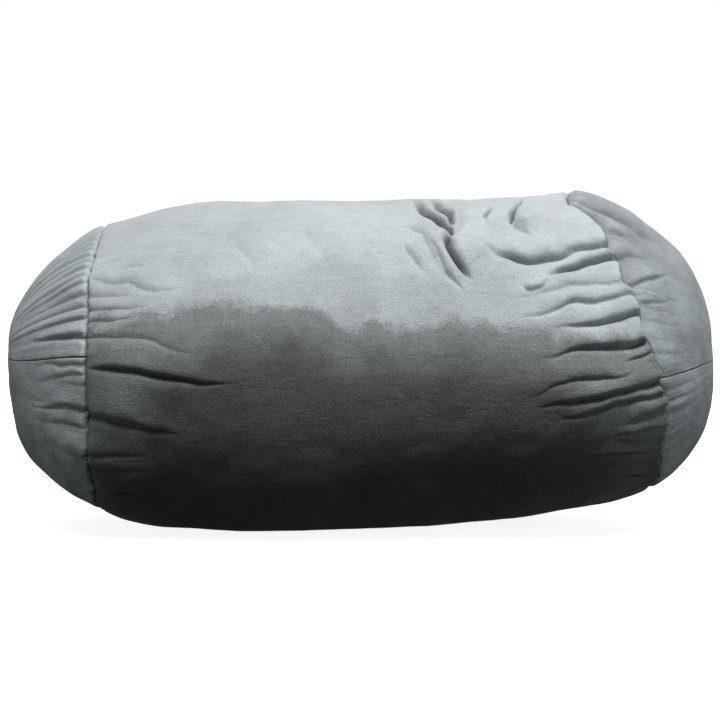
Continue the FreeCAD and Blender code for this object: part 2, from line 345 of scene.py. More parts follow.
# Each fold: path, depth, width, the shares over which it fades in and out, and perhaps a cut
BODY_CREASES = [
    # the long crease that carries the left end's middle seam on into the body
    (((-0.724, 0.420), (-0.630, 0.413), (-0.558, 0.400), (-0.480, 0.387), (-0.402, 0.377), (-0.298, 0.379)),
     0.011, 0.020, 0.22, 0.6, 0.006),
    (((-0.402, 0.442), (-0.506, 0.476), (-0.610, 0.496), (-0.672, 0.498), (-0.719, 0.488)),
     0.005, 0.022, 0.5, 0),
    # soft ruffles that run in from the left-hand seam
    (((-0.719, 0.299), (-0.662, 0.288), (-0.610, 0.270), (-0.547, 0.249), (-0.454, 0.239)),
     0.010, 0.024, 0, 0.7, 0.002),
    (((-0.714, 0.195), (-0.636, 0.190), (-0.532, 0.184)), 0.004, 0.016, 0, 0.8),
    (((-0.698, 0.153), (-0.610, 0.148), (-0.526, 0.138)), 0.004, 0.016, 0, 0.8),
    (((-0.698, 0.101), (-0.610, 0.083), (-0.526, 0.062), (-0.454, 0.057)), 0.007, 0.015, 0, 0.6),
    (((-0.682, 0.052), (-0.599, 0.036)), 0.004, 0.012, 0, 0.6),
    (((-0.714, 0.642), (-0.610, 0.639), (-0.532, 0.619), (-0.480, 0.619), (-0.428, 0.637)),
     0.005, 0.020, 0.2, 0.5),
    (((-0.651, 0.673), (-0.599, 0.680), (-0.547, 0.684)), 0.003, 0.014, 0.4, 0.4),
    (((-0.714, 0.595), (-0.630, 0.607), (-0.547, 0.613)), 0.004, 0.018, 0, 0.8),
    (((-0.714, 0.564), (-0.610, 0.572), (-0.516, 0.581)), 0.005, 0.016, 0, 0.8),
    (((-0.714, 0.538), (-0.610, 0.545), (-0.537, 0.567)), 0.005, 0.016, 0, 0.8),
    # broad pleats that run out to the right-hand seam
    (((0.365, 0.596), (0.435, 0.609), (0.539, 0.622), (0.625, 0.636), (0.703, 0.631)),
     0.006, 0.020, 0.5, 0),
    (((0.391, 0.531), (0.435, 0.555), (0.521, 0.574), (0.604, 0.587), (0.721, 0.608)),
     0.010, 0.020, 0.6, 0),
    (((0.478, 0.514), (0.539, 0.527), (0.604, 0.531), (0.669, 0.542), (0.760, 0.560)),
     0.014, 0.020, 0.7, 0, 0.004),
    (((0.458, 0.437), (0.514, 0.448), (0.570, 0.466), (0.625, 0.469), (0.681, 0.475), (0.780, 0.487)),
     0.017, 0.022, 0.7, 0, 0.005),
    (((0.685, 0.428), (0.737, 0.448), (0.774, 0.469)), 0.006, 0.012, 0.5, 0),
    (((0.417, 0.333), (0.477, 0.352), (0.551, 0.385), (0.625, 0.392), (0.700, 0.404), (0.722, 0.411)),
     0.008, 0.018, 0.7, 0.3, 0.001),
    (((0.440, 0.316), (0.514, 0.321), (0.588, 0.331), (0.625, 0.342), (0.681, 0.359), (0.790, 0.383)),
     0.015, 0.019, 0.65, 0, 0.005),
    (((0.506, 0.270), (0.570, 0.292), (0.625, 0.307), (0.681, 0.326), (0.737, 0.340), (0.796, 0.350)),
     0.010, 0.016, 0.6, 0, 0.002),
    (((0.685, 0.266), (0.755, 0.301), (0.818, 0.322)), 0.012, 0.016, 0.5, 0),
    (((0.655, 0.236), (0.718, 0.251), (0.755, 0.262), (0.825, 0.276)), 0.006, 0.009, 0.4, 0),
    (((0.662, 0.222), (0.737, 0.233), (0.825, 0.246)), 0.003, 0.007, 0.4, 0),
    (((0.590, 0.180), (0.662, 0.190), (0.737, 0.202), (0.825, 0.214)), 0.008, 0.009, 0.6, 0),
    (((0.590, 0.150), (0.662, 0.160), (0.737, 0.176), (0.825, 0.191)), 0.008, 0.009, 0.6, 0),
    (((0.590, 0.119), (0.662, 0.129), (0.737, 0.145), (0.825, 0.164)), 0.008, 0.009, 0.6, 0),
    (((0.590, 0.080), (0.662, 0.090), (0.737, 0.106), (0.825, 0.133)), 0.008, 0.009, 0.6, 0),
    # loose folds over the right-hand shoulder
    (((0.140, 0.855), (0.170, 0.821), (0.196, 0.804), (0.227, 0.785), (0.248, 0.760)),
     0.016, 0.017, 0, 0.15, 0.020),
    (((0.185, 0.850), (0.214, 0.819), (0.231, 0.808), (0.237, 0.798), (0.257, 0.785)),
     0.013, 0.015, 0, 0.3, 0.015),
    (((0.240, 0.762), (0.228, 0.746), (0.235, 0.730), (0.255, 0.700), (0.274, 0.672), (0.298, 0.646)),
     0.025, 0.024, 0.1, 0.5, 0.022),
    (((0.313, 0.748), (0.348, 0.733), (0.383, 0.713), (0.409, 0.699), (0.435, 0.697), (0.521, 0.712),
      (0.565, 0.721), (0.617, 0.730), (0.680, 0.737)), 0.016, 0.020, 0.3, 0, 0.008),
    (((0.478, 0.657), (0.521, 0.668), (0.565, 0.678), (0.604, 0.695), (0.650, 0.702), (0.720, 0.705)),
     0.014, 0.016, 0.3, 0, 0.009),
    (((0.420, 0.640), (0.437, 0.626), (0.452, 0.622), (0.471, 0.626), (0.484, 0.644), (0.495, 0.659)),
     0.005, 0.009, 0.3, 0.4, 0.004),
    (((0.420, 0.850), (0.401, 0.822), (0.390, 0.795)), 0.017, 0.019, 0, 0.35, 0.020),
    (((0.391, 0.795), (0.426, 0.776), (0.461, 0.759)), 0.010, 0.016, 0.2, 0.5),
    (((0.350, 0.835), (0.333, 0.818), (0.322, 0.808)), 0.009, 0.011, 0.2, 0.3, 0.010),
    # wide soft waves across the middle of the top
    (((0.114, 0.752), (0.131, 0.713), (0.153, 0.678), (0.170, 0.657)), 0.007, 0.018, 0.4, 0.4),
    (((0.080, 0.800), (0.162, 0.765), (0.196, 0.700), (0.231, 0.648), (0.257, 0.622)),
     0.010, 0.022, 0.5, 0.5),
    (((0.160, 0.760), (0.196, 0.730), (0.222, 0.670), (0.257, 0.626), (0.275, 0.600)),
     0.010, 0.018, 0.4, 0.4),
    (((-0.170, 0.810), (-0.070, 0.670)), 0.003, 0.030, 0.5, 0.5),
    (((-0.350, 0.790), (-0.250, 0.640)), 0.003, 0.030, 0.5, 0.5),
]

LEFT_END_CREASES = [
    (((-0.859, 0.318), (-0.828, 0.314), (-0.766, 0.319), (-0.688, 0.304)), 0.006, 0.013, 0.5, 0, 0.003),
    (((-0.880, 0.483), (-0.818, 0.494), (-0.755, 0.498), (-0.693, 0.483)), 0.006, 0.013, 0.5, 0, 0.003),
    (((-0.823, 0.275), (-0.766, 0.275), (-0.688, 0.257)), 0.004, 0.014, 0.3, 0),
    (((-0.859, 0.379), (-0.766, 0.400), (-0.688, 0.398)), 0.004, 0.016, 0.6, 0),
    (((-0.870, 0.425), (-0.800, 0.428), (-0.688, 0.422)), 0.006, 0.016, 0.6, 0),
]

RIGHT_END_CREASES = [
    (((0.600, 0.697), (0.647, 0.699), (0.712, 0.701), (0.773, 0.704)), 0.006, 0.014, 0, 0.4),
    (((0.640, 0.605), (0.677, 0.618), (0.734, 0.642), (0.777, 0.656), (0.820, 0.670)),
     0.007, 0.013, 0, 0.4, 0.002),
    (((0.530, 0.865), (0.647, 0.815), (0.712, 0.785), (0.781, 0.737)), 0.013, 0.018, 0, 0.5, 0.005),
    (((0.530, 0.822), (0.625, 0.780), (0.682, 0.760), (0.755, 0.730)), 0.011, 0.016, 0, 0.5, 0.004),
    (((0.660, 0.583), (0.695, 0.587), (0.755, 0.590), (0.842, 0.594)), 0.003, 0.012, 0, 0.4, 0.001),
]


# ---- folds all round


class Pleats:
    """Gathers that run away from a seam: round ridges between sharp valleys, no two alike."""

    def __init__(self, spacing, height, reach, strength=None, valleys=(-180,)):
        """valleys gives the first valleys' angles in rising order. The rest follow, about spacing
        apart."""
        angles = list(valleys)
        stop = angles[0] + 360
        while angles[-1] < stop:
            angles.append(angles[-1] + spacing * rng.uniform(0.6, 1.4))
        angles[-1] = stop
        self.angles = np.array(angles, float)
        self.heights = height * rng.uniform(0.5, 1.0, len(angles))
        self.reaches = reach * rng.uniform(0.6, 1.3, len(angles))
        self.strength = strength

    def __call__(self, around, distance):
        angle = (around - self.angles[0]) % 360 + self.angles[0]
        i = np.clip(np.searchsorted(self.angles, angle, side="right") - 1, 0, len(self.angles) - 2)
        t = np.clip((angle - self.angles[i]) / (self.angles[i + 1] - self.angles[i]), 0, 1)
        ridge = np.abs(np.sin(math.pi * t**0.7)) ** 0.7
        fade = np.exp(-((np.abs(distance) / self.reaches[i]) ** 1.6))
        strength = 1.0 if self.strength is None else self.strength(around)
        return self.heights[i] * strength * ridge * fade


def on_upper_front(around):
    return 0.30 + 0.80 * smoothstep(around, 4, 14) * (1 - smoothstep(around, 66, 90))


def away_from_front(around):
    angle = np.abs((around + 180) % 360 - 180)
    return 0.12 + 0.95 * smoothstep(angle, 95, 130)


LEFT_END_VALLEYS = (-52, -46, -39, -33, -25, -17, -9, 0, 10.6, 18.8, 24.5, 30, 35.8, 40, 45, 49.6, 54,
                    59.5, 64, 70, 77, 84)
LEFT_END_PLEATS = Pleats(5.5, 0.0145, 0.16, on_upper_front, LEFT_END_VALLEYS)
LEFT_BODY_PLEATS = Pleats(5.0, 0.0055, 0.10, away_from_front)
RIGHT_END_PLEATS = Pleats(6.0, 0.0045, 0.10)
RIGHT_BODY_PLEATS = Pleats(7.0, 0.0120, 0.12, away_from_front)
RIGHT_FINE_PLEATS = Pleats(3.2, 0.0020, 0.06)

LUMPS = Waves(0.20)
SWELLS = Waves(0.085)
RIPPLES = Waves(0.030)
CREEP = Waves(0.045)


def folds(panel, along, around, points, normals):
    """How far each place of a panel stands out from the smooth bag, and the furrows' part of it."""
    from_left = along - left_seam(around)
    from_right = right_seam(around) - along
    offset = 0.0035 * LUMPS(points) + 0.0014 * SWELLS(points) + 0.0005 * RIPPLES(points)
    place = front_view(points) + 0.0035 * np.stack([CREEP(points), CREEP(points[..., ::-1])], axis=-1)
    facing = smoothstep(-normals[..., 1], 0.0, 0.4)
    creases = {"body": BODY_CREASES, "left": LEFT_END_CREASES, "right": RIGHT_END_CREASES}[panel]
    furrows = np.zeros(along.shape)
    for fold in creases:
        rise, furrow = crease(place, *fold)
        offset += facing * rise
        furrows += facing * furrow
    if panel == "body":
        offset += LEFT_BODY_PLEATS(around, from_left)
        offset += 0.007 * on_upper_front(around) * np.exp(-((from_left / 0.05) ** 2))
        offset += RIGHT_BODY_PLEATS(around, from_right)
        offset += RIGHT_FINE_PLEATS(around, from_right)
    elif panel == "left":
        offset += LEFT_END_PLEATS(around, -from_left)
    else:
        offset += RIGHT_END_PLEATS(around, -from_right)
        offset += RIGHT_FINE_PLEATS(around, -from_right)
    overhang = np.exp(-((from_right / 0.02) ** 2)) * (1 - smoothstep(np.abs(around), 45, 75))
    offset += overhang * (0.007 if panel == "body" else -0.004)
    offset *= 1 - 0.85 * near_zip(points[..., 0], around)
    seam = np.minimum(np.abs(from_left), np.abs(from_right))
    at_left = np.exp(-((from_left / LEFT_MEETING) ** 2))
    at_right = np.exp(-((from_right / RIGHT_MEETING) ** 2))
    offset *= 1 - at_left - at_right
    offset -= SEAM_DEPTH * np.exp(-((seam / SEAM_WIDTH) ** 1.3))
    off_floor = smoothstep(points[..., 2], 0.0, 0.03)
    return offset * (0.15 + 0.85 * off_floor), furrows


# ---- mesh helpers


def new_object(name, points, faces):
    mesh = bpy.data.meshes.new(name)
    mesh.from_pydata([tuple(p) for p in points], [], [tuple(int(i) for i in f) for f in faces])
    mesh.validate()
    mesh.update()
    obj = bpy.data.objects.new(name, mesh)
    bpy.context.scene.collection.objects.link(obj)
    mesh.polygons.foreach_set("use_smooth", [True] * len(mesh.polygons))
    return obj


def grid_faces(rows, columns, wrap=False, flip=False):
    """Quads of a grid of points, facing out when rows run along the bag and columns around it."""
    r = np.arange(rows - 1)[:, None]
    c = np.arange(columns if wrap else columns - 1)[None, :]
    n = (c + 1) % columns
    this, after = r * columns, (r + 1) * columns
    quads = np.stack([this + c, after + c, after + n, this + n], axis=-1).reshape(-1, 4)
    return quads[:, ::-1] if flip else quads


def closed_faces(rows, columns):
    """Faces of a grid wrapped round, and of fans to the two tips that follow the grid's points."""
    faces = [tuple(f) for f in grid_faces(rows, columns, wrap=True)]
    left, right, last = rows * columns, rows * columns + 1, (rows - 1) * columns
    for c in range(columns):
        n = (c + 1) % columns
        faces += [(left, c, n), (right, last + n, last + c)]
    return faces


def give_thickness(obj, thickness, offset=-1.0):
    """Makes a sheet solid, inwards from its surface or, with offset 0, to both sides."""
    modifier = obj.modifiers.new("cloth", "SOLIDIFY")
    modifier.thickness = thickness
    modifier.offset = offset
    modifier.use_rim = True
    graph = bpy.context.evaluated_depsgraph_get()
    mesh = bpy.data.meshes.new_from_object(obj.evaluated_get(graph), depsgraph=graph)
    old = obj.data
    obj.modifiers.clear()
    obj.data = mesh
    mesh.name = obj.name
    bpy.data.meshes.remove(old)


def store(obj, name, values):
    attribute = obj.data.attributes.new(name, "FLOAT", "POINT")
    attribute.data.foreach_set("value", np.asarray(values, np.float32))


def tube(name, path, radius, sides):
    """A round tube along the points of path, with flat ends."""
    ahead = np.roll(path, -1, 0) - np.roll(path, 1, 0)
    ahead[0] = path[1] - path[0]
    ahead[-1] = path[-1] - path[-2]
    ahead = unit(ahead)
    helper = np.where(np.abs(ahead[:, 2:3]) > 0.9, [[1.0, 0, 0]], [[0, 0, 1.0]])
    first = unit(np.cross(ahead, helper))
    second = np.cross(ahead, first)
    turn = np.linspace(0, math.tau, sides, endpoint=False)[None, :, None]
    ring = first[:, None] * np.cos(turn) + second[:, None] * np.sin(turn)
    points = (path[:, None] + radius * ring).reshape(-1, 3)
    faces = [tuple(f) for f in grid_faces(len(path), sides, wrap=True)]
    faces.append(tuple(range(sides))[::-1])
    faces.append(tuple(range(len(points) - sides, len(points))))
    return new_object(name, points, faces)


def join(name, objects):
    """One object from several meshes."""
    points, faces, start = [], [], 0
    for obj in objects:
        points += [tuple(v.co) for v in obj.data.vertices]
        faces += [tuple(start + i for i in p.vertices) for p in obj.data.polygons]
        start += len(obj.data.vertices)
        bpy.data.objects.remove(obj)
    return new_object(name, points, faces)


# ---- the filled bag, settled as cloth


CLOTH_SETTINGS = {
    "quality": 6,
    "mass": 0.4,
    "tension_stiffness": 25,
    "compression_stiffness": 25,
    "shear_stiffness": 8,
    "bending_stiffness": 1.0,
    "air_damping": 4,
    "use_pressure": True,
    "uniform_pressure_force": 5.0,
}


def settle():
    """Lets the whole skin swell between its seams. Returns its movement on a regular grid."""
    along = np.linspace(0, TOTAL, SIM_ALONG + 2)[1:-1]
    around = np.linspace(-180, 180, SIM_AROUND, endpoint=False)
    rows, columns = len(along), len(around)
    a, b = np.meshgrid(along, around, indexing="ij")
    start = smooth_bag(a, b)
    normals = smooth_normal(a, b)
    slack = np.minimum(np.abs(a - left_seam(b)), np.abs(a - right_seam(b)))
    points = start + normals * (0.004 * SWELLS(start) * np.exp(-slack / 0.15))[..., None]
    points = points.reshape(-1, 3)
    tips = np.array([smooth_bag(0.0, 0.0), smooth_bag(TOTAL, 0.0)])
    skin = new_object("settling_skin", np.vstack([points, tips]), closed_faces(rows, columns))
    sewn = skin.vertex_groups.new(name="sewn")
    step = TOTAL / (rows + 1)
    held = (slack.reshape(-1) < 0.55 * step) | (points[:, 2] < 0.006)
    sewn.add([int(i) for i in np.nonzero(held)[0]] + [len(points), len(points) + 1], 1.0, "REPLACE")
    cloth = skin.modifiers.new("cloth", "CLOTH")
    cloth.settings.vertex_group_mass = sewn.name
    for name, value in CLOTH_SETTINGS.items():
        setattr(cloth.settings, name, value)
    cloth.settings.effector_weights.gravity = 0.0
    cloth.collision_settings.use_collision = False
    cloth.point_cache.frame_start = 1
    cloth.point_cache.frame_end = SIM_FRAMES + 2
    scene = bpy.context.scene
    for number in range(1, SIM_FRAMES + 1):
        scene.frame_set(number)
    graph = bpy.context.evaluated_depsgraph_get()
    mesh = skin.evaluated_get(graph).to_mesh()
    moved = np.empty(len(mesh.vertices) * 3)
    mesh.vertices.foreach_get("co", moved)
    moved = moved.reshape(-1, 3)[: rows * columns].reshape(rows, columns, 3)
    move = moved - start
    length = np.linalg.norm(move, axis=-1, keepdims=True)
    move *= SETTLE_LIMIT * np.tanh(length / SETTLE_LIMIT) / np.maximum(length, 1e-9)
    bpy.data.objects.remove(skin)
    scene.frame_set(1)
    return along, move


SETTLED_ALONG, SETTLED_MOVE = settle()


def settled(along, around):
    """The settling movement at any places, from the regular grid, smoothly."""
    rows, columns = SETTLED_MOVE.shape[:2]
    u = np.clip((along - SETTLED_ALONG[0]) / (SETTLED_ALONG[1] - SETTLED_ALONG[0]), 0, rows - 1.001)
    v = (around + 180) / 360 * columns
    i, j = np.floor(u).astype(int), np.floor(v).astype(int)
    s, t = (u - i)[..., None], (v - j)[..., None]

    def cubic(p0, p1, p2, p3, t):
        bend = 2 * p0 - 5 * p1 + 4 * p2 - p3 + t * (3 * (p1 - p2) + p3 - p0)
        return p1 + 0.5 * t * (p2 - p0 + t * bend)

    lines = []
    for di in (-1, 0, 1, 2):
        row = np.clip(i + di, 0, rows - 1)
        lines.append(cubic(*(SETTLED_MOVE[row, (j + dj) % columns] for dj in (-1, 0, 1, 2)), t))
    held = near_zip(x_of(along), around)
    return cubic(*lines, s) * (1 - 0.85 * held[..., None])


def filled_bag(along, around):
    """Points of the settled bag, before its folds."""
    return smooth_bag(along, around) + settled(along, around)


# ---- cover panels


def cover_points(panel, along, around):
    """Points of the finished cover, and how deep each lies in a furrow."""
    base = filled_bag(along, around)
    normals = smooth_normal(along, around)
    offset, furrows = folds(panel, along, around, base, normals)
    points = base + normals * offset[..., None]
    points[..., 2] = np.maximum(points[..., 2], CLEARANCE)
    return points, furrows


def cover_panel(name, node, panel, along, around, edges):
    """One panel from grids of along and around. edges names its sewn sides, which are turned in."""
    grid, furrows = cover_points(panel, along, around)
    inward = -smooth_normal(along, around)
    inward[..., 2] = np.where(grid[..., 2] < 0.02, np.abs(inward[..., 2]), inward[..., 2])
    for side in edges:
        axis = 0 if side in ("first_row", "last_row") else 1
        index = 0 if side.startswith("first") else -1
        border = np.take(grid, index, axis)
        previous = np.take(grid, 1 if index == 0 else -2, axis)
        down = np.take(inward, index, axis)
        back = unit(previous - border)
        folded = [border + down * TURN_IN * k + back * TURN_IN * 0.25 * k for k in (0.35, 1.0)]
        extra = [np.expand_dims(f, axis) for f in folded]
        grid = np.concatenate([grid] + extra if index == -1 else extra[::-1] + [grid], axis)
        inward = pad_edge(inward, axis, index)
        furrows = pad_edge(furrows, axis, index)
    points = grid.reshape(-1, 3)
    obj = new_object(name, points, grid_faces(*grid.shape[:2]))
    store(obj, "nap_sheen_and_shade", nap_sheen_and_shade(panel, points))
    # painted shade in the furrows of deep folds, on top of each panel's painted light and shade
    store(obj, "tone_and_painted_light", tone_and_painted_light(panel, points) * np.exp(-FURROW_SHADE * furrows.reshape(-1)))
    give_thickness(obj, CLOTH)
    return finish_piece(obj, node, PLUSH)


def pad_edge(values, axis, index):
    """The grid with its edge line repeated twice more."""
    line = np.expand_dims(np.take(values, index, axis), axis)
    return np.concatenate([values, line, line] if index == -1 else [line, line, values], axis)


# Front-view line where the painted sheen of the upper pile gives way to painted shade below
NAP_SHADE_LINE = (
    (-0.90, 0.500), (-0.70, 0.520), (-0.610, 0.550), (-0.545, 0.567), (-0.477, 0.583), (-0.451, 0.565),
    (-0.381, 0.588), (-0.324, 0.587), (-0.277, 0.569), (-0.196, 0.586), (-0.100, 0.569), (-0.060, 0.535),
    (0.001, 0.520), (0.043, 0.538), (0.105, 0.523), (0.222, 0.536), (0.318, 0.538), (0.368, 0.516),
    (0.493, 0.522), (0.550, 0.508), (0.640, 0.495), (0.760, 0.485),
)
NAP_SHADE_LINE_BACK = 0.50
FURROW_SHADE = 70.0  # painted shade: how fast the pile's colour darkens with depth in a furrow, per metre


def nap_sheen_and_shade(panel, points):
    """Signed distance above the line where the pile turns the other way, in metres: painted sheen above the
    line, painted shade below it.
    """
    across, up = front_view(points).T
    line_x, line_z = np.array(NAP_SHADE_LINE).T
    sharpness = 1 - 0.65 * smoothstep(-across, 0.36, 0.62) - 0.5 * smoothstep(across, 0.45, 0.65)
    front = (up - np.interp(across, line_x, line_z)) * sharpness
    back = 0.7 * (points[:, 2] - NAP_SHADE_LINE_BACK - 0.03 * LUMPS(points))
    behind = smoothstep(points[:, 1], -0.22, 0.05)
    value = front + (back - front) * behind
    if panel == "left":
        value = value * 0.4 + 0.05
    elif panel == "right":
        value = 0.08 + 0.03 * SWELLS(points)
    return np.clip(value, -0.4, 0.4)


def tone_and_painted_light(panel, points):
    """How light each panel's colour is against the middle of the body. On the ends it is painted light and
    shade: the left end lighter, the right end darker, each darker towards its top. On the body it is uneven
    at random and a little lighter towards the right.
    """
    up = points[:, 2]
    if panel == "right":
        return 0.86 - 0.16 * smoothstep(up, 0.55, 0.72) + 0.06 * SWELLS(points) + 0.05 * RIPPLES(points)
    if panel == "left":
        return 1.16 - 0.20 * smoothstep(up, 0.45, 0.70) + 0.05 * SWELLS(points)
    return 1.0 + 0.04 * LUMPS(points) + 0.05 * smoothstep(points[:, 0], 0.25, 0.45)


def back_edge(x):
    """Angle by which the body's edge stands back from the lengthwise seam, wider along the zip."""
    opening = smoothstep(ZIP_SLOT_HALF + 0.009 - np.abs(x), 0.0, 0.018)
    gap = SEAM_GAP + (ZIP_SLOT_GAP - SEAM_GAP) * opening
    return np.degrees(gap / HALF_DEPTH)


def make_body():
    places = np.linspace(0, 1, 2001)
    density = 1 + 0.9 * smoothstep(places, 0.50, 0.60) + 0.6 * (1 - smoothstep(places, 0.10, 0.20))
    filled = np.cumsum(density) - density[0]
    share = np.interp(np.linspace(0, filled[-1], BODY_ALONG), filled, places)
    turn = np.linspace(-1, 1, AROUND)
    turn = turn - FRONT_DETAIL / math.pi * np.sin(math.pi * turn)
    k, t = np.meshgrid(share, turn, indexing="ij")
    around = 180 * t
    first = left_seam(around) + SEAM_GAP
    last = right_seam(around) - SEAM_GAP
    along = first + (last - first) * k
    around = t * (180 - back_edge(x_of(along)))
    edges = ("first_row", "last_row", "first_column", "last_column")
    body = cover_panel("cover_body", "cover_body_panel", "body", along, around, edges)


def make_end(side, half):
    """Half of an end's gathered disc. half is upper or lower."""
    share = np.linspace(0.002, 1, END_ALONG)
    low, high = (0.0, 180.0) if half == "upper" else (-180.0, 0.0)
    turn = np.linspace(low + MIDDLE_GAP, high - MIDDLE_GAP, AROUND // 2)
    k, around = np.meshgrid(share, turn, indexing="ij")
    if side == "left":
        along = (left_seam(around) - SEAM_GAP) * k
    else:
        along = TOTAL - (TOTAL - right_seam(around) - SEAM_GAP) * k
        along, around = along[:, ::-1], around[:, ::-1]
    node = f"cover_{side}_end_{half}_panel"
    edges = ("last_row", "first_column", "last_column")
    panel = cover_panel(f"cover_{side}_end_{half}", node, side, along, around, edges)


# ---- materials


def give(node, values):
    """Sets a node's inputs by name."""
    for name, value in values.items():
        node.inputs[name].default_value = value


def new_material(name, base, roughness, metallic=0.0):
    material = bpy.data.materials.new(name)
    material.use_nodes = True
    shader = material.node_tree.nodes["Principled BSDF"]
    give(shader, {"Base Color": (*base, 1), "Roughness": roughness, "Metallic": metallic})
    return material, material.node_tree, shader


def add(tree, kind, **settings):
    node = tree.nodes.new(kind)
    for key, value in settings.items():
        setattr(node, key, value)
    return node


def noise(tree, scale, detail=2.0, roughness=0.5, stretch=(1, 1, 1)):
    """Output of a noise texture in object space, from 0 to 1."""
    where = add(tree, "ShaderNodeTexCoord")
    mapping = add(tree, "ShaderNodeMapping")
    give(mapping, {"Scale": stretch})
    texture = add(tree, "ShaderNodeTexNoise")
    give(texture, {"Scale": scale, "Detail": detail, "Roughness": roughness})
    tree.links.new(where.outputs["Object"], mapping.inputs["Vector"])
    tree.links.new(mapping.outputs["Vector"], texture.inputs["Vector"])
    return texture.outputs["Fac"]


def math_node(tree, operation, a, b=None, c=None):
    node = add(tree, "ShaderNodeMath", operation=operation)
    for socket, value in zip(node.inputs, (a, b, c)):
        if isinstance(value, (int, float)):
            socket.default_value = value
        elif value is not None:
            tree.links.new(value, socket)
    return node.outputs[0]


def spread(tree, value, low, high, to_low, to_high, smooth=False):
    """value mapped from low..high to to_low..to_high."""
    node = add(tree, "ShaderNodeMapRange")
    node.interpolation_type = "SMOOTHSTEP" if smooth else "LINEAR"
    tree.links.new(value, node.inputs["Value"])
    give(node, {"From Min": low, "From Max": high, "To Min": to_low, "To Max": to_high})
    return node.outputs["Result"]


def uneven(tree, value, low, high):
    """A noise's middle half mapped to low..high."""
    return spread(tree, value, 0.25, 0.75, low, high)


def blend_colours(tree, share, first, second):
    node = add(tree, "ShaderNodeMix", data_type="RGBA")
    tree.links.new(share, node.inputs["Factor"])
    sockets = [s for s in node.inputs if s.type == "RGBA"]
    for socket, value in zip(sockets, (first, second)):
        if isinstance(value, tuple):
            socket.default_value = (*value, 1)
        else:
            tree.links.new(value, socket)
    return [s for s in node.outputs if s.type == "RGBA"][0]


def blend_values(tree, share, first, second):
    node = add(tree, "ShaderNodeMix", data_type="FLOAT")
    for socket, value in zip(node.inputs[:1] + node.inputs[2:4], (share, first, second)):
        tree.links.new(value, socket)
    return node.outputs[0]


def tint(tree, colour, strength):
    """colour multiplied by a grey strength."""
    node = add(tree, "ShaderNodeVectorMath", operation="SCALE")
    tree.links.new(colour, node.inputs[0])
    tree.links.new(strength, node.inputs["Scale"])
    return node.outputs[0]


def bump(tree, shader, height, strength, distance, below=None):
    node = add(tree, "ShaderNodeBump")
    give(node, {"Strength": strength, "Distance": distance})
    tree.links.new(height, node.inputs["Height"])
    if below is not None:
        tree.links.new(below, node.inputs["Normal"])
    tree.links.new(node.outputs["Normal"], shader.inputs["Normal"])
    return node.outputs["Normal"]


def plush_material():
    """Short pile: painted sheen above the line where the pile turns, and painted shade below it that
    deepens towards the underside, with fine fur speckle and painted shade in the pile's hollows.
    """
    material, tree, shader = new_material("plush", (0.4, 0.42, 0.42), 0.95)
    give(shader, {"Sheen Weight": 0.30, "Sheen Roughness": 0.45, "Specular IOR Level": 0.12})
    give(shader, {"Sheen Tint": (0.80, 0.86, 0.88, 1)})
    # painted sheen and shade: which side of the line each place lies on, and how far
    brushed_sheen_and_shade = add(tree, "ShaderNodeAttribute", attribute_name="nap_sheen_and_shade").outputs["Fac"]
    # per-point painted light and shade of the ends and of the furrows, with the body's random unevenness
    panel_tone_and_painted_light = add(tree, "ShaderNodeAttribute", attribute_name="tone_and_painted_light").outputs["Fac"]
    ragged = uneven(tree, noise(tree, 16, 4, 0.55), -0.025, 0.025)
    frayed = uneven(tree, noise(tree, 190), -0.010, 0.010)
    edge = math_node(tree, "ADD", math_node(tree, "ADD", brushed_sheen_and_shade, ragged), frayed)
    light = spread(tree, edge, -0.020, 0.020, 0, 1, smooth=True)
    # painted shade: under the line the colour darkens further towards the underside
    lower = spread(tree, edge, -0.19, -0.01, 0, 1, smooth=True)
    shaded = blend_colours(tree, lower, (0.098, 0.102, 0.094), (0.215, 0.232, 0.236))
    colour = blend_colours(tree, light, shaded, (0.395, 0.425, 0.435))
    clouds = uneven(tree, noise(tree, 11, 5, 0.6), 0.88, 1.12)
    strokes = uneven(tree, noise(tree, 55, 3, 0.6, (0.5, 1, 1.3)), 0.93, 1.07)
    grain = noise(tree, 260, 2, 0.7)
    fine = blend_values(tree, light, uneven(tree, grain, 0.74, 1.26), uneven(tree, grain, 0.87, 1.13))
    # painted shade: dark specks where the pile parts
    painted_pit_shade = spread(tree, noise(tree, 210, 1, 0.5), 0.20, 0.36, 0.55, 1.0, smooth=True)
    shade = panel_tone_and_painted_light
    for layer in (clouds, strokes, fine, painted_pit_shade):
        shade = math_node(tree, "MULTIPLY", shade, layer)
    tree.links.new(tint(tree, colour, shade), shader.inputs["Base Color"])
    soft = bump(tree, shader, noise(tree, 60, 4, 0.6, (0.6, 1, 1.2)), 0.5, 0.005)
    bump(tree, shader, noise(tree, 240, 2, 0.7), 0.6, 0.0035, soft)
    return material


def scaled(colour, factor):
    return tuple(factor * c for c in colour)


def woven_material(name, base, roughness, scale):
    """Plain woven cloth: two crossing sets of fine ribs and a little unevenness."""
    material, tree, shader = new_material(name, base, roughness)
    shader.inputs["Sheen Weight"].default_value = 0.15
    where = add(tree, "ShaderNodeTexCoord").outputs["Object"]
    ribs = []
    for direction in ("X", "Z"):
        wave = add(tree, "ShaderNodeTexWave", bands_direction=direction)
        give(wave, {"Scale": scale, "Distortion": 0.4})
        tree.links.new(where, wave.inputs["Vector"])
        ribs.append(wave.outputs["Fac"])
    weave = math_node(tree, "MAXIMUM", *ribs)
    colour = blend_colours(tree, weave, scaled(base, 0.78), base)
    shade = uneven(tree, noise(tree, 30, 4), 0.92, 1.08)
    tree.links.new(tint(tree, colour, shade), shader.inputs["Base Color"])
    bump(tree, shader, weave, 0.4, 0.0004)
    return material


